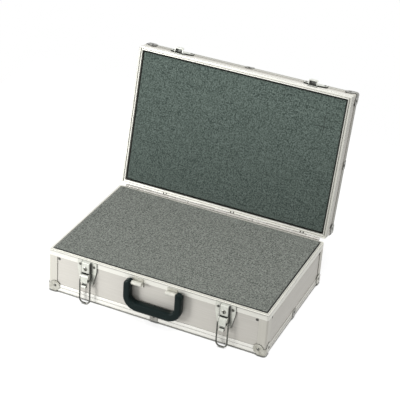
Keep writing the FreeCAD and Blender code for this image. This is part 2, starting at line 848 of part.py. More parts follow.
def knuckle_spans():
    """The five knuckles of a hinge as (low, high) pairs along X: the base has the odd ones."""
    step = hinge_length / 5
    starts = [-hinge_length / 2 + step * i for i in range(5)]
    return [(start + s.knuckle_gap / 2, start + step - s.knuckle_gap / 2) for start in starts]


def leaf(name, centre, spans, way):
    """One leaf: a plate on the back face, a tab up to each of its knuckles, and the knuckles."""
    back, face = half_depth, half_depth + s.hinge_leaf
    clear = s.knuckle_radius + s.knuckle_gap
    near, far = hinge_z + clear * way, hinge_z + s.hinge_leaf_height * way
    z = (near, far) if way > 0 else (far, near)
    tab_z = (hinge_z, near) if way > 0 else (near, hinge_z)
    x_plate = (centre - hinge_length / 2, centre + hinge_length / 2)
    pieces = [box(name + "_plate", x_plate, (back, face), z)]
    for number, (low, high) in enumerate(spans):
        x = (centre + low, centre + high)
        pieces.append(box(f"{name}_tab_{number}", x, (back, face), tab_z))
        pieces.append(rod(f"{name}_knuckle_{number}", x, hinge_y, hinge_z, s.knuckle_radius))
    bore = rod(name + "_bore", x_plate, hinge_y, hinge_z, s.hinge_pin_radius + s.hinge_pin_play)
    return pieces, bore


def stop(name, x):
    """The fin on a lid knuckle that meets the base's leaf when the lid is fully open."""
    y = half_depth + s.hinge_leaf + s.stop_gap
    fin = box(name, x, (y, y + s.stop_width), (hinge_z - s.stop_reach, hinge_z - s.knuckle_radius / 2))
    swing(fin, y, hinge_z - s.stop_reach, s.lid_open_angle, x[0])
    return fin


def hinges():
    """Three long hinges end to end on the back: base leaves, lid leaves with their stops, and the pins."""
    spans = knuckle_spans()
    base_leaves, lid_leaves, pins = [], [], []
    for number, centre in enumerate(hinge_centres):
        name = f"hinge_base_leaf_{number}"
        pieces, bore = leaf(name, centre, spans[0::2], -1)
        base_leaves.append(cut(name, joined(name + "_whole", pieces), bore))
        name = f"hinge_lid_leaf_{number}"
        pieces, bore = leaf(name, centre, spans[1::2], 1)
        for low, high in spans[1::2]:
            fin_number = len(pieces)
            pieces.append(stop(f"{name}_stop_{fin_number}", (centre + low, centre + high)))
        lid_leaves.append(cut(name, joined(name + "_whole", pieces), bore))
        x = (centre + spans[0][0], centre + spans[-1][1])
        pins.append(rod(f"hinge_pin_{number}", x, hinge_y, hinge_z, s.hinge_pin_radius))
    node(group("hinge_base_leaves", base_leaves), "hinge_base_leaves")
    node(group("hinge_lid_leaves", lid_leaves), "hinge_lid_leaves", True)
    node(group("hinge_pins", pins), "hinge_pins")


# ---------------------------------------------------------------- latches

# Each latch piece is drawn about the middle of the case's front face, at the height of the underside,
# or about the pivot that it turns on.


def latch_plate(label, x):
    """The riveted plate, thicker below the rim band, with two ears for the lever's pin."""
    body = new_body(label)
    rim, wide, narrow = s.base_height, s.latch_half_width, s.latch_foot_half_width
    top, shoulder, foot = rim - s.latch_top_drop, rim - s.latch_shoulder_drop, rim - s.latch_foot_drop
    sketch = sketch_on(body, "XZ_Plane")
    skirt = [(-wide, shoulder), (-narrow, foot), (narrow, foot), (wide, shoulder)]
    outline(sketch, [*skirt, (wide, top), (-wide, top)])
    pad(body, sketch, s.latch_wall)
    band = rim - s.rim_band
    sketch = sketch_on(body, "XZ_Plane")
    outline(sketch, [*skirt, (wide, band), (-wide, band)])
    pad(body, sketch, s.panel_inset, back=True)
    for inside, outside in both(s.ear_inside, s.ear_inside + s.ear_wall):
        ear(body, inside, outside)
    node(body, label, False, x, -half_depth, 0)


def ear(body, low, high):
    out, z, radius = s.lever_pivot_out, lever_z, s.ear_radius
    root = -s.latch_wall / 2
    sketch = sketch_on(body, "YZ_Plane", low)
    outline(sketch, [
        (root, z - radius), (root, z + radius), (-out, z + radius),
        (-out - radius, z, -out, z), (-out, z - radius, -out, z),
    ])
    pad(body, sketch, high - low)
    sketch = sketch_on(body, "YZ_Plane", low)
    ring(sketch, -out, z, s.latch_pin_radius + s.latch_pin_play)
    pocket(body, sketch, high - low, back=True)


def latch_pins():
    """The pins that the levers turn on, held in the plates' ears."""
    reach = s.ear_inside + s.ear_wall
    pins = [
        rod(f"latch_pin_{side}", (x - reach, x + reach), -half_depth - s.lever_pivot_out, lever_z,
            s.latch_pin_radius)
        for side, x in latch_sides.items()
    ]
    node(group("latch_pins", pins), "latch_pins")


def lock_housing(label, x):
    """The block above the lever, bored for the lock's core."""
    body = new_body(label)
    wide, low, high = s.lock_half_width, s.base_height - s.lock_bottom_drop, s.base_height - s.latch_top_drop
    sketch = sketch_on(body, "XZ_Plane", s.latch_wall)
    outline(sketch, [(-wide, low), (wide, low), (wide, high), (-wide, high)])
    pad(body, sketch, s.lock_out - s.latch_wall)

    def at_front(edge):
        return all(abs(vertex.Y + s.lock_out.number) < NEAR for vertex in edge.Vertexes)

    round_edges(body, at_front, s.lock_round)
    sketch = sketch_on(body, "XZ_Plane", s.lock_out)
    ring(sketch, 0, key_z, s.key_radius + s.key_play)
    pocket(body, sketch, s.key_depth)
    node(body, label, False, x, -half_depth, 0)


def key_core(label, x):
    """The lock's core, with a domed face and a key slot."""
    body = new_body(label)
    sketch = sketch_on(body, "XY_Plane")
    radius, dome, depth = s.key_radius, s.key_dome, s.key_depth
    ball = (radius * radius + dome * dome) / (dome * 2)
    outline(sketch, [(0, 0), (radius, 0), (radius, depth), (0, depth + dome, 0, depth + dome - ball)])
    turned = body.newObject("PartDesign::Revolution", label + "_turned")
    turned.Profile = sketch
    turned.ReferenceAxis = (sketch, ["V_Axis"])
    turned.Angle = 360.0
    sketch = sketch_on(body, "XZ_Plane", -depth - dome)
    width, length = s.key_slot_width / 2, s.key_slot_length / 2
    outline(sketch, [(-width, -length), (width, -length), (width, length), (-width, length)])
    pocket(body, sketch, s.key_slot_depth, back=True)
    body.Label = label
    body.Placement = Placement(Vector(), Rotation(Vector(0, 0, 1), 180))
    front = -half_depth - s.lock_out + s.key_depth
    bind(body, {"Placement.Base.x": x, "Placement.Base.y": front, "Placement.Base.z": key_z})
    nodes.append(body)


def lever(label, x):
    """A hollow tab that turns on the pin in the plate, with a narrow rolled lip for the finger."""
    body = new_body(label)
    radius, wall, length, wide = s.lever_radius, s.lever_wall, s.lever_length, s.lever_half_width
    sketch = sketch_on(body, "YZ_Plane")
    outline(sketch, [
        (-radius, -length), (s.lever_foot_back, -length), (radius, 0),
        (0, radius, 0, 0), (-radius, 0, 0, 0),
    ])
    pad(body, sketch, wide * 2, midplane=True)
    roll_y, roll_z = -s.lip_roll_out, -length - s.lip_roll_drop
    sketch = sketch_on(body, "YZ_Plane")
    front = -radius + s.lip_step
    outline(sketch, [(front, roll_z), (front + wall, roll_z), (front + wall, -length), (front, -length)])
    pad(body, sketch, s.lip_half_width * 2, midplane=True)
    sketch = sketch_on(body, "YZ_Plane")
    ring(sketch, roll_y, roll_z, s.lip_roll_radius)
    pad(body, sketch, s.lip_half_width * 2, midplane=True)
    sketch = sketch_on(body, "YZ_Plane")
    ring(sketch, roll_y, roll_z, s.lip_roll_bore)
    pocket(body, sketch, wide * 3, midplane=True)
    sketch = sketch_on(body, "YZ_Plane")
    back, low, far = -radius + wall, -length + wall, radius * 2
    outline(sketch, [(back, low), (far, low), (far, -s.lever_barrel), (back, -s.lever_barrel)])
    pocket(body, sketch, (wide - wall) * 2, midplane=True)
    bores = [(size(0), s.latch_pin_radius + s.latch_pin_play), (-s.bail_drop, s.bail_wire + s.bail_play)]
    for z, bore in bores:
        sketch = sketch_on(body, "YZ_Plane")
        ring(sketch, 0, z, bore)
        pocket(body, sketch, wide * 3, midplane=True)
    node(body, label, False, x, -half_depth - s.lever_pivot_out, lever_z)


def wire_bend(name, x, z, radius, start):
    """A quarter turn of the bail's wire in the XZ plane, from a start angle, about a centre."""
    bend = doc.addObject("Part::Torus", name)
    bind(bend, {"Radius1": radius, "Radius2": s.bail_wire})
    bend.Angle3 = 90.0
    place(bend, x, 0, z, Rotation(Vector(1, 0, 0), 90) * Rotation(Vector(0, 0, 1), start))
    return bend


def bail(label, x):
    """The wire loop: two legs turned into the lever at the top, and a rounded bottom."""
    wide, wire, bend, corner = s.bail_half_width, s.bail_wire, s.bail_bend, s.bail_corner
    low = -s.bail_length + corner
    pieces = [rod(label + "_bottom", (-wide + corner, wide - corner), size(0), -s.bail_length, wire)]
    for side, way, top_start, low_start in (("left", -1, 90, 180), ("right", 1, 0, 270)):
        name = f"{label}_{side}"
        leg = doc.addObject("Part::Cylinder", name + "_leg")
        bind(leg, {"Radius": wire, "Height": -bend - low})
        place(leg, wide * way, 0, low)
        pieces.append(leg)
        ends = sorted([s.bail_end * way, (wide - bend) * way], key=lambda value: value.number)
        pieces.append(rod(name + "_end", ends, size(0), size(0), wire))
        pieces.append(wire_bend(name + "_top", (wide - bend) * way, -bend, bend, top_start))
        pieces.append(wire_bend(name + "_low", (wide - corner) * way, low, corner, low_start))
    node(joined(label, pieces), label, False, x, -half_depth - s.lever_pivot_out, lever_z - s.bail_drop)


def catch(label, x):
    """The lid's half of a latch: a riveted plate with a hook that the closed bail lies round."""
    body = new_body(label)
    neck, wide = s.catch_neck_half_width, s.catch_half_width
    low, top = lid_rim + s.catch_low, lid_rim + s.catch_top
    neck_z, shoulder = lid_rim + s.catch_neck, lid_rim + s.catch_shoulder
    sketch = sketch_on(body, "XZ_Plane")
    outline(sketch, [
        (-neck, low), (neck, low), (neck, neck_z), (wide, shoulder), (wide, top),
        (-wide, top), (-wide, shoulder), (-neck, neck_z),
    ])
    pad(body, sketch, s.latch_wall)
    band, edge = lid_rim + s.rim_band, lid_top - s.edge_width
    sketch = sketch_on(body, "XZ_Plane")
    outline(sketch, [(-neck, band), (neck, band), (neck, edge), (-neck, edge)])
    pad(body, sketch, s.panel_inset, back=True)
    # the hook's outline follows the inside of the closed bail
    foot, crown = lid_rim + s.hook_low, lever_z - s.bail_drop + s.bail_length - s.bail_wire - s.hook_clearance
    half = s.bail_half_width - s.bail_wire - s.hook_clearance
    round_ = s.bail_corner - s.bail_wire - s.hook_clearance
    reach = s.lever_pivot_out + s.bail_wire + s.hook_clearance
    sketch = sketch_on(body, "XZ_Plane", s.latch_wall / 2)
    outline(sketch, arch(half, foot, crown, round_))
    pad(body, sketch, reach - s.latch_wall / 2)
    sketch = sketch_on(body, "XZ_Plane", reach)
    outline(sketch, arch(half, foot, crown + s.hook_clearance + s.bail_wire + s.hook_lip_rise, round_))
    pad(body, sketch, s.hook_lip)
    wall = s.hook_wall
    sketch = sketch_on(body, "XZ_Plane", s.latch_wall)
    outline(sketch, arch(half - wall, foot - wall, crown - wall, round_ - wall))
    pocket(body, sketch, reach - s.latch_wall, back=True)
    node(body, label, True, x, -half_depth, 0)


def arch(half, low, top, round_):
    """An upright outline with a square foot and two rounded shoulders."""
    return [
        (-half, low), (half, low), (half, top - round_),
        (half - round_, top, half - round_, top - round_), (-half + round_, top),
        (-half, top - round_, -half + round_, top - round_),
    ]


# ---------------------------------------------------------------- handle


def bracket_x():
    """A handle bracket's span along X, between the middle of the case and the handle's arm."""
    arm = s.handle_half_width - s.handle_arm - s.bracket_side_gap
    return arm - s.bracket_length, arm


def handle_brackets():
    """Plates over the front rim band, thicker below it, each with a barrel for the handle's pin."""
    y, z, radius = -half_depth - s.handle_pivot_out, handle_z, s.bracket_barrel
    front, panel, foot = -half_depth - s.bracket_plate, -half_depth + s.panel_inset, z - s.bracket_foot_drop
    for side, x in zip(("right", "left"), both(*bracket_x())):
        name = f"handle_bracket_{side}"
        plate = box(name + "_plate", x, (front, -half_depth), (foot, z + s.bracket_top_rise))
        thick = box(name + "_foot", x, (front, panel), (foot, s.base_height - s.rim_band))
        web = box(name + "_web", x, (y, -half_depth), (z - s.bracket_web / 2, z + s.bracket_web / 2))
        barrel = rod(name + "_barrel", x, y, z, radius)
        bore = rod(name + "_bore", x, y, z, s.handle_pin_radius + s.handle_pin_play)
        node(cut(name, joined(name + "_whole", [plate, thick, web, barrel]), bore), name)


def handle_pins():
    """The two pins that the handle swings on, fixed in the brackets."""
    inner, outer = bracket_x()[0], s.handle_half_width - s.handle_arm + s.handle_pin_seat
    pins = [
        rod(f"handle_pin_{number}", x, -half_depth - s.handle_pivot_out, handle_z, s.handle_pin_radius)
        for number, x in enumerate(both(inner, outer))
    ]
    node(group("handle_pins", pins), "handle_pins")


def handle_grip():
    """The moulded handle: two arms and a grip in one piece, bored for the pins."""
    body = new_body("handle_grip")
    out, inn = s.handle_half_width, s.handle_half_width - s.handle_arm
    top, low, bar = s.handle_top, -s.handle_drop, -s.handle_drop + s.handle_bar
    big, small, tip = s.handle_outer_round, s.handle_inner_round, s.handle_top_round
    sketch = sketch_on(body, "XZ_Plane")
    outline(sketch, [
        (inn, top), (inn, bar + small), (inn - small, bar, inn - small, bar + small),
        (-inn + small, bar), (-inn, bar + small, -inn + small, bar + small), (-inn, top),
        (-out + tip, top), (-out, top - tip, -out + tip, top - tip), (-out, low + big),
        (-out + big, low, -out + big, low + big), (out - big, low),
        (out, low + big, out - big, low + big), (out, top - tip), (out - tip, top, out - tip, top - tip),
    ])
    pad(body, sketch, s.handle_depth, midplane=True)

    def at_face(edge):
        depths = [abs(vertex.Y) for vertex in edge.Vertexes]
        return all(abs(depth - s.handle_depth.number / 2) < NEAR for depth in depths)

    round_edges(body, at_face, s.handle_edge_round)
    sketch = sketch_on(body, "YZ_Plane")
    ring(sketch, 0, 0, s.handle_pin_radius + s.handle_pin_play)
    pocket(body, sketch, (inn + s.handle_pin_seat + s.bracket_side_gap) * 2, midplane=True)
    node(body, "handle_grip", False, 0, -half_depth - s.handle_pivot_out, handle_z)


# ---------------------------------------------------------------- the whole case


def build():
    base_panels()
    lid_panels()
    base_rim()
    lid_rim_rails()
    edge_rails()
    corner_posts("base_corner_posts", underside + s.edge_width, s.base_height - s.rim_band, False)
    corner_posts("lid_corner_posts", lid_rim + s.rim_band, lid_top - s.edge_width, True)
    corner_caps("base_corner_caps", underside, False, False)
    corner_caps("lid_corner_caps", lid_top, True, True)
    edge_clips("base_edge_clips", underside, 1, False)
    edge_clips("lid_edge_clips", lid_top, -1, True)
    base_rivets()
    lid_rivets()
    ledge_rivets()
    foams()
    hinges()
    for side, x in latch_sides.items():
        latch_plate(f"latch_plate_{side}", x)
        lock_housing(f"lock_housing_{side}", x)
        key_core(f"key_core_{side}", x)
        lever(f"lever_{side}", x)
        bail(f"bail_{side}", x)
        catch(f"catch_{side}", x)
    latch_pins()
    handle_brackets()
    handle_pins()
    handle_grip()


def check():
    """Stops if any feature failed, or if a sub-part is empty or broken."""
    failed = [item.Name for item in doc.Objects if {"Invalid", "Error"} & set(item.State)]
    if failed:
        raise RuntimeError(f"features failed: {failed}")
    for item in nodes:
        if item.Shape.isNull() or not item.Shape.isValid():
            raise RuntimeError(f"{item.Label} has no sound shape")


def export():
    os.makedirs("parts", exist_ok=True)
    for item in nodes:
        item.Shape.exportStep(os.path.join("parts", item.Label + ".step"))


build()
doc.recompute()
check()
export()
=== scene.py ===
import json
import math
import random

import bmesh
import bpy
from mathutils import Matrix, Vector, noise


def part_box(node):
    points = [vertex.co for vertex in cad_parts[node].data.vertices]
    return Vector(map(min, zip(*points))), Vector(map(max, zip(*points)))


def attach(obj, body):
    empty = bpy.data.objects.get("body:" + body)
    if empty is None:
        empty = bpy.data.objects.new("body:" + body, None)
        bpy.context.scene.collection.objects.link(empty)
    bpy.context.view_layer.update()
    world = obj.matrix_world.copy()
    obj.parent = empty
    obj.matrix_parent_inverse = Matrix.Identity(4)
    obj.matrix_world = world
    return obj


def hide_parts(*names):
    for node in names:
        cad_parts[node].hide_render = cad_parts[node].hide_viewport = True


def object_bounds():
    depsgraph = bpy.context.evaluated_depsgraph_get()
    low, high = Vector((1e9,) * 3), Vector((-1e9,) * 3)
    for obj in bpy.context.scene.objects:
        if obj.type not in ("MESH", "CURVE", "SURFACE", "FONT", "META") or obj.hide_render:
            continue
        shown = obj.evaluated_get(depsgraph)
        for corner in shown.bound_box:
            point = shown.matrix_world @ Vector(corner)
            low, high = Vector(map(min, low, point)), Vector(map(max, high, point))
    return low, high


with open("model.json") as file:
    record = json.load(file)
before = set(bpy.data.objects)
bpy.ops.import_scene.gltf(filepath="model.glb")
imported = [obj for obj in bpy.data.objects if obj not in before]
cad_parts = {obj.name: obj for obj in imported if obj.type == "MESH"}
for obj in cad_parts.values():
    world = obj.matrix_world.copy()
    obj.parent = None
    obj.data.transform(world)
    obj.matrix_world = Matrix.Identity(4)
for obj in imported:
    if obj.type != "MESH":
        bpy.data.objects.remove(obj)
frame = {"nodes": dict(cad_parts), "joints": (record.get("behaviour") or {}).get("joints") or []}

cad_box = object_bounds()

# ------------------------------------------------------------------ panels
# Thin boards faced with aluminium laminate, one for each face of the base and the lid. The laminate
# is a satin-anodised foil with a fine hairline along each board, slid into slots in the profiles.

MM = 0.001


def linear(code):
    """An sRGB hex colour as linear RGBA."""
    values = [int(code[i:i + 2], 16) / 255 for i in (1, 3, 5)]
    return [*(v / 12.92 if v <= 0.04045 else ((v + 0.055) / 1.055) ** 2.4 for v in values), 1.0]


def add(tree, kind, settings=None, links=None):
    """Adds one node with its settings, and links or sets its inputs."""
    item = tree.nodes.new(kind)
    for name, value in (settings or {}).items():
        setattr(item, name, value)
    for name, value in (links or {}).items():
        if isinstance(value, bpy.types.NodeSocket):
            tree.links.new(value, item.inputs[name])
        else:
            item.inputs[name].default_value = value
    return item


def start_material(name, shader):
    """A material with a Principled shader, whose uniform values are set on its own sockets."""
    material = bpy.data.materials.new(name)
    material.use_nodes = True
    tree = material.node_tree
    bsdf = tree.nodes["Principled BSDF"]
    for socket, value in shader.items():
        bsdf.inputs[socket].default_value = value
    place = add(tree, "ShaderNodeTexCoord").outputs["Object"]
    return material, tree, bsdf, place


def two_tone(tree, fac, tones, low=0.35, high=0.65):
    """A colour that goes from dark to light as a pattern goes from low to high, and how far it has gone."""
    spread = add(tree, "ShaderNodeMapRange", {}, {
        "Value": fac, "From Min": low, "From Max": high}).outputs["Result"]
    dark, light = tones
    return add(tree, "ShaderNodeMix", {"data_type": "RGBA"}, {
        0: spread, 6: linear(dark), 7: linear(light)}).outputs[2], spread


SHADE_BAND = 0.3  # openness over which the painted shade fades out
SHADE_MOST = 0.9  # share of the colour that the thickest painted shade hides


def with_painted_shade(tree, colour, reach, shade_tone, unshaded_at):
    """Turns a colour towards a shade tone where another surface is near: painted shade in corners and at
    steps.

    reach is how near, in millimetres, and the last argument is the openness from which no painted shade is
    left.
    """
    openness = add(tree, "ShaderNodeAmbientOcclusion", {"samples": 12}, {
        "Distance": reach * MM}).outputs["AO"]
    share = add(tree, "ShaderNodeMapRange", {}, {
        "Value": openness, "From Min": unshaded_at - SHADE_BAND, "From Max": unshaded_at,
        "To Min": SHADE_MOST, "To Max": 0.0}).outputs["Result"]
    return add(tree, "ShaderNodeMix", {"data_type": "RGBA"}, {
        0: share, 6: colour, 7: linear(shade_tone)}).outputs[2]


def dress(nodes, material):
    """Gives CAD nodes their material."""
    for name in nodes:
        slots = frame["nodes"][name].data.materials
        slots.clear()
        slots.append(material)


# tone of the painted shade at the aluminium's corners and steps
GREY_SHADE = "#33342f"


def anodised_aluminium(name, tones, lines, turn, rough, reach):
    """Clear anodised aluminium with drawn or brushed lines, sized in millimetres along each axis.

    The oxide film scatters most of the light, so the metal looks pale and satin, with soft streaks.
    turn lays the lines along the open lid, and reach is how far painted shade spreads from a corner or step.
    """
    material, tree, bsdf, place = start_material(name, {"Metallic": 0.3})
    turned = add(tree, "ShaderNodeMapping", {}, {
        "Vector": place, "Rotation": (turn, 0.0, 0.0)}).outputs["Vector"]
    stretched = add(tree, "ShaderNodeMapping", {}, {
        "Vector": turned, "Scale": [1 / (size * MM) for size in lines]}).outputs["Vector"]
    streaks = add(tree, "ShaderNodeTexNoise", {}, {
        "Vector": stretched, "Scale": 1.0, "Detail": 4.0, "Roughness": 0.6})
    colour, spread = two_tone(tree, streaks.outputs["Fac"], tones)
    tree.links.new(with_painted_shade(tree, colour, reach, GREY_SHADE, 0.8), bsdf.inputs["Base Color"])
    gloss = add(tree, "ShaderNodeMapRange", {}, {
        "Value": spread, "To Min": rough + 0.06, "To Max": rough - 0.04}).outputs["Result"]
    tree.links.new(gloss, bsdf.inputs["Roughness"])
    bump = add(tree, "ShaderNodeBump", {}, {
        "Strength": 0.3, "Distance": 0.02 * MM, "Height": spread}).outputs["Normal"]
    tree.links.new(bump, bsdf.inputs["Normal"])
    return material


lid_joint = next(joint for joint in frame["joints"] if joint["name"] == "lid_hinge")
lid_angle = math.radians(lid_joint["range_deg"][1])

LAMINATE = ("#c3c0b8", "#cbc8c1")
# the real hairline is under 0.1 mm across; it is drawn 1.2 mm wide so that it shows
HAIR_LENGTH, HAIR_WIDTH = 90.0, 1.2
hair_across = (HAIR_LENGTH, HAIR_WIDTH, HAIR_WIDTH)
hair_deep = (HAIR_WIDTH, HAIR_LENGTH, HAIR_WIDTH)
# the lid's top, front and back are a little duller, so that no highlight whitens them once it is shut
for name, lines, turn, rough, panels in (
        ("base", hair_across, 0.0, 0.5, ("base_front", "base_back", "base_bottom")),
        ("lid", hair_across, lid_angle, 0.62, ("lid_front", "lid_back", "lid_top")),
        ("side", hair_deep, 0.0, 0.5, ("base_left", "base_right")),
        ("lid_side", hair_deep, lid_angle, 0.5, ("lid_left", "lid_right"))):
    laminate = anodised_aluminium(
        f"brushed_aluminium_laminate_{name}", LAMINATE, lines, turn, rough, 3.0)
    dress([f"{panel}_panel" for panel in panels], laminate)

# ------------------------------------------------------------------ rims, edges and posts
# Aluminium extrusions in a clear anodised finish: mitred rims with a tongue and groove, edge profiles
# and upright angles. The die leaves fine lines along each length. The base's side edges and the lid's edges
# and side rims are drawn in darker copies of these tones, as painted shade.

# the die's lines are well under 0.1 mm across; they are drawn 0.8 mm wide so that they show
DIE_LENGTH, DIE_WIDTH = 160.0, 0.8
die_lines = {
    "across": (DIE_LENGTH, DIE_WIDTH, DIE_WIDTH),
    "deep": (DIE_WIDTH, DIE_LENGTH, DIE_WIDTH),
    "upright": (DIE_WIDTH, DIE_WIDTH, DIE_LENGTH),
}
run_sides = {"across": ("front", "back"), "deep": ("left", "right")}
# the darker tones here are painted shade: the base's side edges, and the lid's side rims and edges
run_tones_with_painted_shade = {
    "base": {"rim_across": ("#e1e0d7", "#eae9e1"), "rim_deep": ("#e1e0d7", "#eae9e1"),
             "edge_across": ("#eeede5", "#f5f4ee"), "edge_deep": ("#cfcdc4", "#d8d6ce")},
    "lid": {"rim_across": ("#dfded5", "#e8e7df"), "rim_deep": ("#bdbcb3", "#c8c7bf"),
            "edge_across": ("#b2b1a8", "#bbbab2"), "edge_deep": ("#a19f97", "#aaa8a0")},
}
POST = ("#c3c1b7", "#ccc9c0")
for half, turn in (("base", 0.0), ("lid", lid_angle)):
    for run, tones in run_tones_with_painted_shade[half].items():
        part, way = run.split("_")
        drawn = anodised_aluminium(
            f"drawn_aluminium_{run}_{half}", tones, die_lines[way], turn, 0.42, 1.0)
        dress([f"{half}_{part}_{side}" for side in run_sides[way]], drawn)
    upright = anodised_aluminium(
        f"drawn_aluminium_post_{half}", POST, die_lines["upright"], turn, 0.45, 3.0)
    dress([f"{half}_corner_posts"], upright)

# ------------------------------------------------------------------ corner caps, clips and rivets
# Nickel-plated steel pressings: caps with three lobes over the corners, thin clips over the joints of
# the edge profiles, and the domed heads of the rivets that hold everything, drawn darker than the rest
# as a painted dark reflection.

# tone of the painted shade at the plated parts' edges and where other parts are near
NICKEL_SHADE = "#0a0e0d"


def nickel_plate(name, tones, rough, spot, metal, reach, unshaded_at=0.8):
    """Nickel-plated steel: clouded reflections, dull where it was handled, with painted shade at its edges.

    spot is the size of the clouds, and reach how far the painted shade spreads from an edge, in millimetres.
    """
    material, tree, bsdf, place = start_material(name, {"Metallic": metal})
    clouds = add(tree, "ShaderNodeTexNoise", {}, {
        "Vector": place, "Scale": 1 / (spot * MM), "Detail": 3.0, "Roughness": 0.5})
    colour, spread = two_tone(tree, clouds.outputs["Fac"], tones)
    tree.links.new(with_painted_shade(tree, colour, reach, NICKEL_SHADE, unshaded_at), bsdf.inputs["Base Color"])
    gloss = add(tree, "ShaderNodeMapRange", {}, {
        "Value": spread, "To Min": rough + 0.08, "To Max": rough - 0.05}).outputs["Result"]
    tree.links.new(gloss, bsdf.inputs["Roughness"])
    dents = add(tree, "ShaderNodeTexNoise", {}, {
        "Vector": place, "Scale": 1 / (2.5 * MM), "Detail": 2.0})
    bump = add(tree, "ShaderNodeBump", {}, {
        "Strength": 0.3, "Distance": 0.03 * MM, "Height": dents.outputs["Fac"]}).outputs["Normal"]
    tree.links.new(bump, bsdf.inputs["Normal"])
    return material


cap_nickel = nickel_plate(
    "nickel_plated_caps", ("#a9a79c", "#c6c5bb"), rough=0.3, spot=6.0, metal=0.5, reach=2.5, unshaded_at=0.92)
clip_nickel = nickel_plate(
    "nickel_plated_clips", ("#8f8e88", "#a5a49e"), rough=0.36, spot=9.0, metal=0.4, reach=2.5, unshaded_at=0.92)
# the lid's caps and clips are a darker copy of the plating, a painted shade
shaded_lid_nickel = nickel_plate(
    "nickel_plated_lid_caps", ("#52524c", "#a2a199"), rough=0.26, spot=5.0, metal=0.6, reach=4.0, unshaded_at=0.97)
# the rivet heads' dark tones are a painted dark reflection, with painted shade all round them
rivet_nickel = nickel_plate(
    "nickel_plated_rivets", ("#3b3a36", "#77766f"), rough=0.16, spot=3.0, metal=0.5, reach=4.0, unshaded_at=1.0)
dress(["base_corner_caps"], cap_nickel)
dress(["base_edge_clips"], clip_nickel)
dress(["lid_corner_caps", "lid_edge_clips"], shaded_lid_nickel)
dress(["base_rivets", "lid_rivets", "lid_ledge_rivets"], rivet_nickel)

# ------------------------------------------------------------------ hinges
# Three long hinges end to end, pressed from nickel-plated steel and riveted to both rims. Only their
# knuckles show when the case is open, as a dull grey strip between the base and the lid.

hinge_nickel = nickel_plate(
    "nickel_plated_hinges", ("#aeaba5", "#bbb9b3"), rough=0.34, spot=7.0, metal=0.4, reach=3.0, unshaded_at=0.85)
dress(["hinge_base_leaves", "hinge_lid_leaves", "hinge_pins"], hinge_nickel)

# ------------------------------------------------------------------ foam
# Soft polyurethane foam in dark grey. A plain sheet lies against the shell, and on it a sheet that is
# slit into squares, which are picked out to fit what the case carries. It is glued in at the back.

FOAM_SHADE = "#1a201e"
# heights between which the lid foam's painted shade runs
SHADE_FROM_Z, SHADE_TO_Z = 110 * MM, 360 * MM


def polyurethane_foam(name, tones, speck, height_shade, reach, unshaded_at):
    """Open-cell polyurethane foam, sliced: matt, with light and dark specks where cells are cut open.

    The pair of brightnesses after the speck colour is the foam's brightness at its lowest and highest level,
    a painted shade that darkens it towards the bottom, and reach is how far the painted shade of cut sides
    and slits spreads, in millimetres.
    """
    material, tree, bsdf, place = start_material(name, {
        "Metallic": 0.0, "Roughness": 0.95, "Specular IOR Level": 0.2, "Sheen Weight": 0.15,
        "Sheen Roughness": 0.6})
    # the cells are near 1 mm across; they are drawn 2.6 mm across so that they show
    cells = add(tree, "ShaderNodeTexNoise", {}, {
        "Vector": place, "Scale": 1 / (2.6 * MM), "Detail": 2.0, "Roughness": 0.7})
    patches = add(tree, "ShaderNodeTexNoise", {}, {
        "Vector": place, "Scale": 1 / (60 * MM), "Detail": 3.0})
    grain, _ = two_tone(tree, cells.outputs["Fac"], tones, 0.38, 0.62)
    tone = add(tree, "ShaderNodeMapRange", {}, {
        "Value": patches.outputs["Fac"], "From Min": 0.3, "From Max": 0.7,
        "To Min": 0.0, "To Max": 0.25}).outputs["Result"]
    colour = add(tree, "ShaderNodeMix", {"data_type": "RGBA"}, {
        0: tone, 6: grain, 7: linear(speck)}).outputs[2]
    # painted shade: the colour darkens towards the bottom, between two heights
    height = add(tree, "ShaderNodeSeparateXYZ", {}, {"Vector": place}).outputs["Z"]
    level = add(tree, "ShaderNodeMapRange", {}, {
        "Value": height, "From Min": SHADE_FROM_Z, "From Max": SHADE_TO_Z,
        "To Min": height_shade[0], "To Max": height_shade[1]}).outputs["Result"]
    colour = add(tree, "ShaderNodeMix", {"data_type": "RGBA", "blend_type": "MULTIPLY"}, {
        0: 1.0, 6: colour, 7: level}).outputs[2]
    tree.links.new(with_painted_shade(tree, colour, reach, FOAM_SHADE, unshaded_at), bsdf.inputs["Base Color"])
    bump = add(tree, "ShaderNodeBump", {}, {
        "Strength": 0.8, "Distance": 0.5 * MM, "Height": cells.outputs["Fac"]}).outputs["Normal"]
    tree.links.new(bump, bsdf.inputs["Normal"])
    return material


def skin(mesh, grid):
    """Faces between the lines of a grid of vertices."""
    for line, following in zip(grid, grid[1:]):
        for i in range(len(line) - 1):
            mesh.faces.new((line[i], following[i], following[i + 1], line[i + 1]))


def outline(grid):
    """The vertices round the edge of a grid, in order."""
    return (grid[0] + [line[-1] for line in grid[1:]] + grid[-1][-2::-1]
            + [line[0] for line in grid[-2:0:-1]])


def wall(mesh, loop, other):
    """Faces between two outlines that lie one over the other."""
    for i in range(len(loop)):
        j = (i + 1) % len(loop)
        mesh.faces.new((loop[i], loop[j], other[j], other[i]))


def foam_piece(name, mesh):
    """A piece of the scene from a closed mesh."""
    bmesh.ops.recalc_face_normals(mesh, faces=mesh.faces)
    data = bpy.data.meshes.new(name)
    mesh.to_mesh(data)
    mesh.free()
    piece = bpy.data.objects.new(name, data)
    bpy.context.scene.collection.objects.link(piece)
    return piece


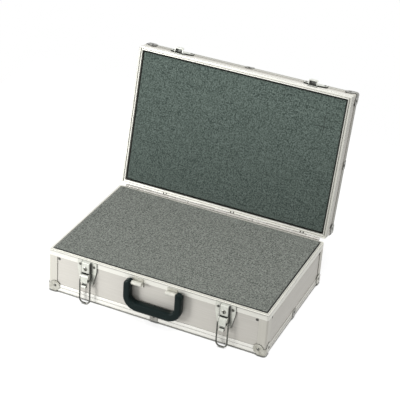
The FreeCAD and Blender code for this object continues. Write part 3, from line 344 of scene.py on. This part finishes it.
SQUARE = 15.0 * MM  # side of a square
END_SQUARE = 0.55  # an end square is no narrower than this share of a whole one
SLIT = 0.12 * MM  # how far a slit stands open at the face
SLIT_DEPTH = 9.0 * MM
FACE_STEPS = (0.0, 0.12, 0.5, 0.88, 1.0)  # where a square's face has vertices
LIP_DROP, LIP_WIDTH = 0.25 * MM, 1.1 * MM  # a square's face falls this far to its edges, over this width
SQUARE_SINK = 0.18  # each square lies up to this many millimetres below the sheet's face
PARTED = 0.9 * MM  # where a handled square has parted from the next one
BARELY = 1e-6  # metres; the bottom of a slit lies no further from the slit's place, and stays there


def slit_lines(low, high, anchor):
    """Where the slits cross one side of a sheet: one to a square from an anchor, clear of its ends."""
    first = math.ceil((low + SQUARE * END_SQUARE - anchor) / SQUARE)
    last = math.floor((high - SQUARE * END_SQUARE - anchor) / SQUARE)
    return [anchor + SQUARE * step for step in range(first, last + 1)]


def sheet_columns(low, high, lines):
    """Where one side of a sheet has vertices, as (place, whether it is the bottom of a slit)."""
    cuts = [low, *lines, high]
    columns = []
    for number, (start, end) in enumerate(zip(cuts, cuts[1:])):
        first = start + (SLIT / 2 if number else 0.0)
        final = end - (SLIT / 2 if number < len(cuts) - 2 else 0.0)
        if number:
            columns.append((start, True))
        for share in FACE_STEPS:
            columns.append((first + (final - first) * share, False))
    return columns


def cubed_sheet(name, low, high, face_up, anchors, parted, seed):
    """A foam sheet between two corners, slit into squares from its upper or its lower face.

    parted lists the stretches of slit that stand open, as (axis, place, start, end).
    """
    rng = random.Random(seed)
    lines_x = slit_lines(low.x, high.x, anchors[0])
    lines_y = slit_lines(low.y, high.y, anchors[1])
    columns, rows = sheet_columns(low.x, high.x, lines_x), sheet_columns(low.y, high.y, lines_y)
    face, back, inward = (high.z, low.z, -1.0) if face_up else (low.z, high.z, 1.0)
    sink = {}
    mesh = bmesh.new()
    grid = []
    for x, slit_x in columns:
        line = []
        for y, slit_y in rows:
            square = (sum(x > cut for cut in lines_x), sum(y > cut for cut in lines_y))
            if square not in sink:
                sink[square] = rng.uniform(0.0, SQUARE_SINK) * MM
            near = min(min(abs(x - cut) for cut in [low.x, high.x, *lines_x]),
                       min(abs(y - cut) for cut in [low.y, high.y, *lines_y]))
            drop = sink[square] + LIP_DROP * math.exp(-near / LIP_WIDTH)
            if slit_x or slit_y:
                drop = SLIT_DEPTH
            line.append(mesh.verts.new((x, y, face + inward * drop)))
        grid.append(line)
    skin(mesh, grid)
    border = outline(grid)
    foot = [mesh.verts.new((vertex.co.x, vertex.co.y, back)) for vertex in border]
    wall(mesh, border, foot)
    mesh.faces.new(foot)
    # the two lips of a parted slit are drawn apart, most at the middle of the stretch
    for axis, place, start, end in parted:
        for line in grid:
            for vertex in line:
                off, along = vertex.co[axis] - place, vertex.co[1 - axis]
                if BARELY < abs(off) < SLIT and start < along < end:
                    share = (along - start) / (end - start)
                    vertex.co[axis] += math.copysign(PARTED / 2 * math.sin(math.pi * share), off)
    return foam_piece(name, mesh)


COUNT_X, COUNT_Y = 24, 16  # fields in a plain sheet's face
DIP = 0.2 * MM  # how far its sliced faces dip
WAVES = 40.0  # dips in a metre, about


def plain_sheet(name, low, high):
    """A plain foam sheet whose sliced faces dip a little between its corners."""
    mesh = bmesh.new()
    borders = []
    for level, inward in ((low.z, 1.0), (high.z, -1.0)):
        grid = []
        for i in range(COUNT_X + 1):
            line = []
            for j in range(COUNT_Y + 1):
                x = low.x + (high.x - low.x) * i / COUNT_X
                y = low.y + (high.y - low.y) * j / COUNT_Y
                dip = DIP * (0.5 + 0.5 * noise.noise(Vector((x, y, level)) * WAVES))
                line.append(mesh.verts.new((x, y, level + inward * dip)))
            grid.append(line)
        skin(mesh, grid)
        borders.append(outline(grid))
    wall(mesh, *borders)
    return foam_piece(name, mesh)


def fit_foam(piece, material, node, body):
    """Dresses a foam piece and puts it in its CAD node's place, riding on its body."""
    piece.data.materials.append(material)
    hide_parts(node)
    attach(piece, body)


hinge = Vector(lid_joint["pos_m"])
# from the closed lid, in which the lid's foam is laid out, to the lid as it rests open
open_lid = Matrix.Translation(hinge) @ Matrix.Rotation(-lid_angle, 4, "X") @ Matrix.Translation(-hinge)


def closed_box(node):
    """A lid node's corners in the closed lid, in which it lies square."""
    back = open_lid.inverted()
    points = [back @ vertex.co for vertex in frame["nodes"][node].data.vertices]
    return (Vector([min(point[i] for point in points) for i in range(3)]),
            Vector([max(point[i] for point in points) for i in range(3)]))


foam_base = polyurethane_foam(
    "grey_polyurethane_foam_base", ("#3d423c", "#8d918a"), "#757972",
    height_shade=(1.0, 1.0), reach=9.0, unshaded_at=0.92)
# the lid's foam is the same foam drawn darker than the base's, a painted shade, and darker still towards its
# bottom
shaded_foam_lid = polyurethane_foam(
    "grey_polyurethane_foam_lid", ("#2b3933", "#717f78"), "#5b6961",
    height_shade=(0.6, 0.94), reach=3.5, unshaded_at=0.85)

low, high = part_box("base_cube_foam")
base_slit_x = 65.0 * MM
base_cubes = cubed_sheet(
    "base_cubed_foam", low, high, face_up=True, anchors=(base_slit_x, low.y + SQUARE),
    parted=[(0, base_slit_x, 110 * MM, 137 * MM)], seed=5)
fit_foam(base_cubes, foam_base, "base_cube_foam", "base")

low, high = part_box("base_foam_pad")
base_pad = plain_sheet("base_plain_foam", low, high)
fit_foam(base_pad, foam_base, "base_foam_pad", "base")

low, high = closed_box("lid_cube_foam")
lid_slit = Vector((179.5, -73.0, 0.0)) * MM
lid_cubes = cubed_sheet(
    "lid_cubed_foam", low, high, face_up=False, anchors=(lid_slit.x, lid_slit.y),
    parted=[(0, lid_slit.x, -108 * MM, -56 * MM), (1, lid_slit.y, 160 * MM, 188 * MM)], seed=9)
lid_cubes.data.transform(open_lid)
fit_foam(lid_cubes, shaded_foam_lid, "lid_cube_foam", "lid")

low, high = closed_box("lid_foam_pad")
lid_pad = plain_sheet("lid_plain_foam", low, high)
lid_pad.data.transform(open_lid)
fit_foam(lid_pad, shaded_foam_lid, "lid_foam_pad", "lid")

# ------------------------------------------------------------------ handle
# Injection-moulded ABS in black, in one piece with its arms, hung on two steel pins. The mould is
# finely spark-eroded, so the grip is satin with soft, slightly blue-green reflections.

black_abs, tree, bsdf, place = start_material("moulded_black_abs", {
    "Metallic": 0.0, "Specular IOR Level": 0.12})
# the eroded grain is near 0.2 mm; it is drawn 1.4 mm across so that it shows
grain = add(tree, "ShaderNodeTexNoise", {}, {
    "Vector": place, "Scale": 1 / (1.4 * MM), "Detail": 2.0, "Roughness": 0.6})
colour, spread = two_tone(tree, grain.outputs["Fac"], ("#061212", "#0c1d1c"))
tree.links.new(colour, bsdf.inputs["Base Color"])
gloss = add(tree, "ShaderNodeMapRange", {}, {
    "Value": spread, "To Min": 0.42, "To Max": 0.34}).outputs["Result"]
tree.links.new(gloss, bsdf.inputs["Roughness"])
bump = add(tree, "ShaderNodeBump", {}, {
    "Strength": 0.25, "Distance": 0.04 * MM, "Height": grain.outputs["Fac"]}).outputs["Normal"]
tree.links.new(bump, bsdf.inputs["Normal"])
dress(["handle_grip"], black_abs)

# ------------------------------------------------------------------ handle brackets and pins
# Bent plates of nickel-plated steel, riveted over the front rim, whose barrels hold the handle's pins.
# They take only a little painted shade near other parts. The latches' pins are plated like them.

bracket_nickel = nickel_plate(
    "nickel_plated_brackets", ("#c2c1b7", "#d0cfc6"), rough=0.34, spot=7.0, metal=0.4, reach=2.0, unshaded_at=0.75)
dress(["handle_pins", "latch_pins", "handle_bracket_left", "handle_bracket_right"], bracket_nickel)

# ------------------------------------------------------------------ latches
# Draw latches with a lock, in nickel-plated pressings riveted to the front and to the lid: plate, lock
# housing, lever and catch, with a turned key core and a bail of bent steel wire, which is left darker.

# the plates and locks take painted shade far out from their steps and the parts near them
plate_nickel = nickel_plate(
    "nickel_plated_plates", ("#cdcec4", "#d9dad1"), rough=0.34, spot=7.0, metal=0.4, reach=8.0, unshaded_at=0.93)
lock_nickel = nickel_plate(
    "nickel_plated_locks", ("#cdcfc5", "#d9dbd2"), rough=0.34, spot=7.0, metal=0.4, reach=9.0, unshaded_at=0.95)
# the key cores are drawn darker than the other plating, as painted shade of the keyway
key_nickel = nickel_plate(
    "nickel_plated_key_cores", ("#77776f", "#a5a59c"), rough=0.18, spot=2.0, metal=0.6, reach=4.0, unshaded_at=0.98)
wire_steel = nickel_plate(
    "drawn_steel_wire", ("#4b4c47", "#6d6e68"), rough=0.2, spot=5.0, metal=0.8, reach=2.0)
for side in ("left", "right"):
    dress([f"latch_plate_{side}"], plate_nickel)
    dress([f"lock_housing_{side}", f"lever_{side}", f"catch_{side}"], lock_nickel)
    dress([f"key_core_{side}"], key_nickel)
    dress([f"bail_{side}"], wire_steel)

# ------------------------------------------------------------------ studio
# White paper under the case and a white surround. A large soft lamp hangs overhead, and a small narrow
# one stands low on the left, so that the front fades from left to right.

FLOOR_REACH = 0.8  # metres from the middle
floor_z = cad_box[0][2]
floor_mesh = bpy.data.meshes.new("studio_floor")
floor_mesh.from_pydata(
    [(x * FLOOR_REACH, y * FLOOR_REACH, floor_z) for x, y in ((-1, -1), (1, -1), (1, 1), (-1, 1))],
    [], [(0, 1, 2, 3)])
floor = bpy.data.objects.new("studio_floor", floor_mesh)
bpy.context.scene.collection.objects.link(floor)


def seen_or_mirrored(tree):
    """1 for the camera's rays and for those that metal or glass sends on, and 0 for light's own."""
    rays = add(tree, "ShaderNodeLightPath").outputs
    seen = add(tree, "ShaderNodeMath", {"operation": "MAXIMUM"}, {
        0: rays["Is Camera Ray"], 1: rays["Is Glossy Ray"]}).outputs[0]
    return add(tree, "ShaderNodeMath", {"operation": "MAXIMUM"}, {
        0: seen, 1: rays["Is Transmission Ray"]}).outputs[0]


paper = bpy.data.materials.new("white_paper")
paper.use_nodes = True
tree = paper.node_tree
tree.nodes.clear()
place = add(tree, "ShaderNodeTexCoord").outputs["Object"]
# paper fibres are far finer; they are drawn about 1 mm wide, at 900 to the metre
fibres = add(tree, "ShaderNodeTexNoise", {}, {"Vector": place, "Scale": 900.0, "Detail": 2.0})
white, _ = two_tone(tree, fibres.outputs["Fac"], ("#f4f4f4", "#fafafa"))
seen = seen_or_mirrored(tree)
# the paper is lifted to white: part of its own light is held back, and it glows a little more than that
HELD_BACK, GLOW = 0.62, 0.775
# close to the case it isn't lifted, so that the contact shadow shows, and a contact shadow is painted grey
# along the line where the case stands
openness = add(tree, "ShaderNodeAmbientOcclusion", {"samples": 12}, {"Distance": 4 * MM}).outputs["AO"]
lifted = add(tree, "ShaderNodeMapRange", {}, {
    "Value": openness, "From Min": 0.5, "From Max": 0.8,
    "To Min": 0.0, "To Max": HELD_BACK}).outputs["Result"]
painted_shadow = add(tree, "ShaderNodeMapRange", {}, {
    "Value": openness, "From Min": 0.5, "From Max": 0.7,
    "To Min": 0.6, "To Max": 0.0}).outputs["Result"]
shadowed_paper = add(tree, "ShaderNodeMix", {"data_type": "RGBA"}, {
    0: painted_shadow, 6: white, 7: linear("#73746f")}).outputs[2]
# it sends less light back to the case than it shows, as grey paper would
tone = add(tree, "ShaderNodeMix", {"data_type": "RGBA"}, {
    0: seen, 6: linear("#bcbcbc"), 7: shadowed_paper}).outputs[2]
held = add(tree, "ShaderNodeMath", {"operation": "MULTIPLY"}, {0: seen, 1: lifted}).outputs[0]
own = add(tree, "ShaderNodeMix", {"data_type": "RGBA"}, {
    0: held, 6: tone, 7: (0.0, 0.0, 0.0, 1.0)}).outputs[2]
power = add(tree, "ShaderNodeMath", {"operation": "MULTIPLY"}, {
    0: held, 1: GLOW / HELD_BACK}).outputs[0]
matt = add(tree, "ShaderNodeBsdfDiffuse", {}, {"Color": own}).outputs["BSDF"]
glow = add(tree, "ShaderNodeEmission", {}, {
    "Color": (1.0, 1.0, 1.0, 1.0), "Strength": power}).outputs["Emission"]
both = add(tree, "ShaderNodeAddShader", {}, {0: matt, 1: glow}).outputs[0]
add(tree, "ShaderNodeOutputMaterial", {}, {"Surface": both})
floor_mesh.materials.append(paper)

world = bpy.data.worlds.new("studio_world")
bpy.context.scene.world = world
world.use_nodes = True
tree = world.node_tree
tree.nodes.clear()
# the surround is seen and mirrored at full white, and lights the case at under half of it
power = add(tree, "ShaderNodeMapRange", {}, {
    "Value": seen_or_mirrored(tree), "To Min": 0.46, "To Max": 1.0}).outputs["Result"]
sky = add(tree, "ShaderNodeBackground", {}, {
    "Color": (1.0, 1.0, 1.0, 1.0), "Strength": power}).outputs[0]
add(tree, "ShaderNodeOutputWorld", {}, {"Surface": sky})


def softbox(name, position, target, size, watts, spread=180.0):
    """A square area lamp that points at a target, with its beam's spread in degrees."""
    light = bpy.data.lights.new(name, "AREA")
    light.shape = "SQUARE"
    light.size = size
    light.energy = watts
    light.spread = math.radians(spread)
    lamp = bpy.data.objects.new(name, light)
    lamp.location = position
    lamp.rotation_euler = (Vector(target) - Vector(position)).to_track_quat("-Z", "Y").to_euler()
    bpy.context.scene.collection.objects.link(lamp)


softbox("overhead_softbox", (0.28, -0.1, 1.6), (0.08, 0.0, 0.1), size=1.0, watts=15.0)
softbox("side_softbox", (-0.95, -1.0, 0.25), (-0.32, -0.145, 0.06), size=0.5, watts=1.9, spread=60.0)

# ------------------------------------------------------------------ camera
# A long lens from the front right, looking down at the open case, rolled a little to one side.

right = Vector((0.90780, 0.41487, 0.06146))
up = Vector((-0.2543, 0.4280, 0.8672))
ahead = Vector((-0.33349, 0.80292, -0.49407))
camera_data = bpy.data.cameras.new("camera")
camera_data.lens = 119.4
camera_data.sensor_width = 36.0
camera = bpy.data.objects.new("camera", camera_data)
aim = Matrix((right, up, -ahead)).transposed().to_4x4()
camera.matrix_world = Matrix.Translation((0.8483, -2.0036, 1.4306)) @ aim
bpy.context.scene.collection.objects.link(camera)
bpy.context.scene.camera = camera
bpy.context.scene.view_settings.view_transform = "Standard"
